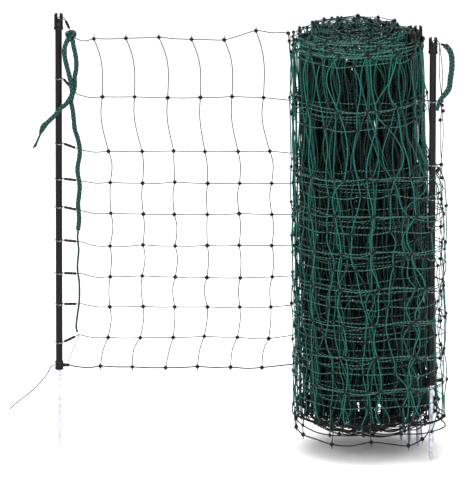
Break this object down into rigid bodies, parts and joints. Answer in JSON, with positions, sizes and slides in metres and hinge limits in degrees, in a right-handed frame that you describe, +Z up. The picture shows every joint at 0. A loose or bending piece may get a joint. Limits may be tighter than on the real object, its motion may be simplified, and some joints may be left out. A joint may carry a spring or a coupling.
{
  "type": "electric rabbit netting",
  "caption": "Electric rabbit netting with an end post, an unrolled net panel with its guy cord, and the rest of the net standing as a roll around its posts.",
  "frame": {"origin": "on the floor, under the middle of the box round all pieces but the free cords", "axes": "+X along the net panel from the end post to the roll, +Y behind the panel, +Z up along the end post"},
  "size_m": [0.8571, 0.3382, 0.861],
  "materials": {
    "post_plastic": "semi-gloss black extruded and moulded plastic",
    "spike_steel": "bright zinc-plated drawn steel",
    "ferrule_black": "black plastic-covered crimp",
    "net_strand": "green plastic twine twisted with bare steel filaments",
    "rolled_net": "rolled green polywire net with black moulded knots",
    "ground_line": "black twisted plastic twine without steel",
    "braided_cord": "braided polypropylene cord"
  },
  "bodies": {
    "root": {"end_post_rod": "post_plastic", "end_post_head": "post_plastic", "end_post_foot": "post_plastic", "end_post_spike": "spike_steel", "roll_post_1_rod": "post_plastic", "roll_post_1_head": "post_plastic", "roll_post_1_foot": "post_plastic", "roll_post_1_spike": "spike_steel", "roll_post_2_rod": "post_plastic", "roll_post_2_head": "post_plastic", "roll_post_2_foot": "post_plastic", "roll_post_2_spike": "spike_steel", "roll_post_3_rod": "post_plastic", "roll_post_3_head": "post_plastic", "roll_post_3_foot": "post_plastic", "roll_post_3_spike": "spike_steel", "roll_post_4_rod": "post_plastic", "roll_post_4_head": "post_plastic", "roll_post_4_foot": "post_plastic", "roll_post_4_spike": "spike_steel", "roll_post_5_rod": "post_plastic", "roll_post_5_head": "post_plastic", "roll_post_5_foot": "post_plastic", "roll_post_5_spike": "spike_steel", "far_end_post_rod": "post_plastic", "far_end_post_head": "post_plastic", "far_end_post_foot": "post_plastic", "far_end_post_spike": "spike_steel", "net_panel": "net_strand", "net_roll": "rolled_net", "far_net_end": "net_strand", "hanging_bottom_line": "ground_line", "top_ferrule": "ferrule_black", "line_ferrule_1": "ferrule_black", "line_ferrule_2": "ferrule_black", "line_ferrule_3": "ferrule_black", "line_ferrule_4": "ferrule_black", "line_ferrule_5": "ferrule_black", "line_ferrule_6": "ferrule_black", "line_ferrule_7": "ferrule_black", "line_ferrule_8": "ferrule_black", "far_cord_crimp": "ferrule_black", "guy_knot": "braided_cord", "guy_cord_short": "braided_cord", "guy_cord_long": "braided_cord", "far_guy_cord": "braided_cord", "ground_line_tail": "ground_line"}
  },
  "joints": []
}
